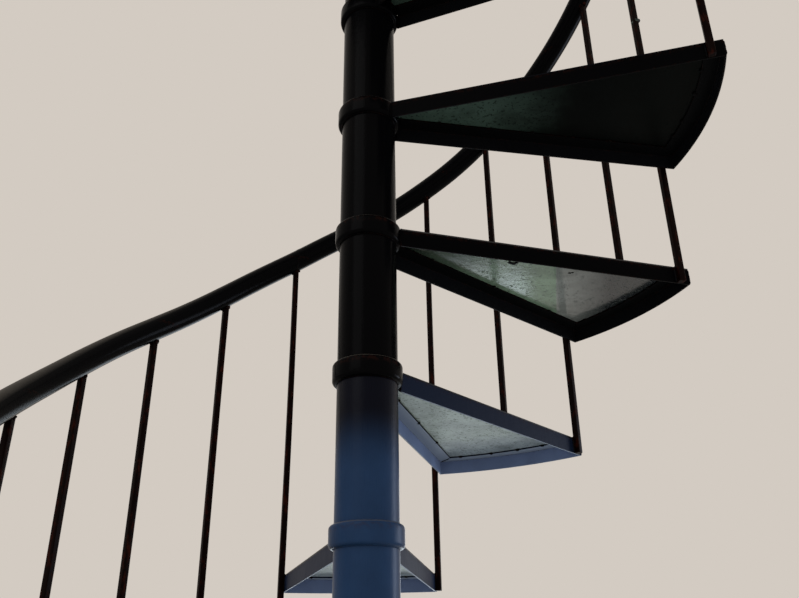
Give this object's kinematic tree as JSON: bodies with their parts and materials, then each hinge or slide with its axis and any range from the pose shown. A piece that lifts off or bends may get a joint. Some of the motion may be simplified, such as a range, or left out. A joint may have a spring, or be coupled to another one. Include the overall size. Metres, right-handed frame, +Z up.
{
  "type": "steel spiral staircase",
  "caption": "Welded steel spiral stair with sector treads on a pipe pole, square bar balusters, a round helical handrail and a quarter landing.",
  "frame": {"origin": "on the pole's axis at floor level, in the base plate's underside", "axes": "+Z up; the landing's exit edge lies along -X and faces +Y; seen from above the stair climbs clockwise"},
  "size_m": [1.2234, 1.223, 4.099],
  "materials": {
    "frame_paint": "glossy black-blue enamel, chipped and dusty",
    "bar_paint": "thin black-brown enamel over red oxide primer",
    "plate_paint": "grey-green paint, speckled and dusty"
  },
  "bodies": {
    "root": {"base_plate": "frame_paint", "base_gussets": "frame_paint", "centre_pole": "frame_paint", "pole_cap": "frame_paint", "hub_sleeves": "frame_paint", "tread_frame_01": "frame_paint", "tread_frame_02": "frame_paint", "tread_frame_03": "frame_paint", "tread_frame_04": "frame_paint", "tread_frame_05": "frame_paint", "tread_frame_06": "frame_paint", "tread_frame_07": "frame_paint", "tread_frame_08": "frame_paint", "tread_frame_09": "frame_paint", "tread_frame_10": "frame_paint", "tread_frame_11": "frame_paint", "tread_frame_12": "frame_paint", "tread_plate_01": "plate_paint", "tread_plate_02": "plate_paint", "tread_plate_03": "plate_paint", "tread_plate_04": "plate_paint", "tread_plate_05": "plate_paint", "tread_plate_06": "plate_paint", "tread_plate_07": "plate_paint", "tread_plate_08": "plate_paint", "tread_plate_09": "plate_paint", "tread_plate_10": "plate_paint", "tread_plate_11": "plate_paint", "tread_plate_12": "plate_paint", "landing_frame": "frame_paint", "landing_plate": "plate_paint", "landing_fixing": "frame_paint", "start_post": "bar_paint", "end_post": "bar_paint", "balusters_01_to_03": "bar_paint", "balusters_04_to_06": "bar_paint", "balusters_07_to_09": "bar_paint", "balusters_10_to_12": "bar_paint", "landing_balusters": "bar_paint", "handrail_01_to_03": "frame_paint", "handrail_04_to_06": "frame_paint", "handrail_07_to_09": "frame_paint", "handrail_10_to_12": "frame_paint", "landing_handrail": "frame_paint"}
  },
  "joints": []
}
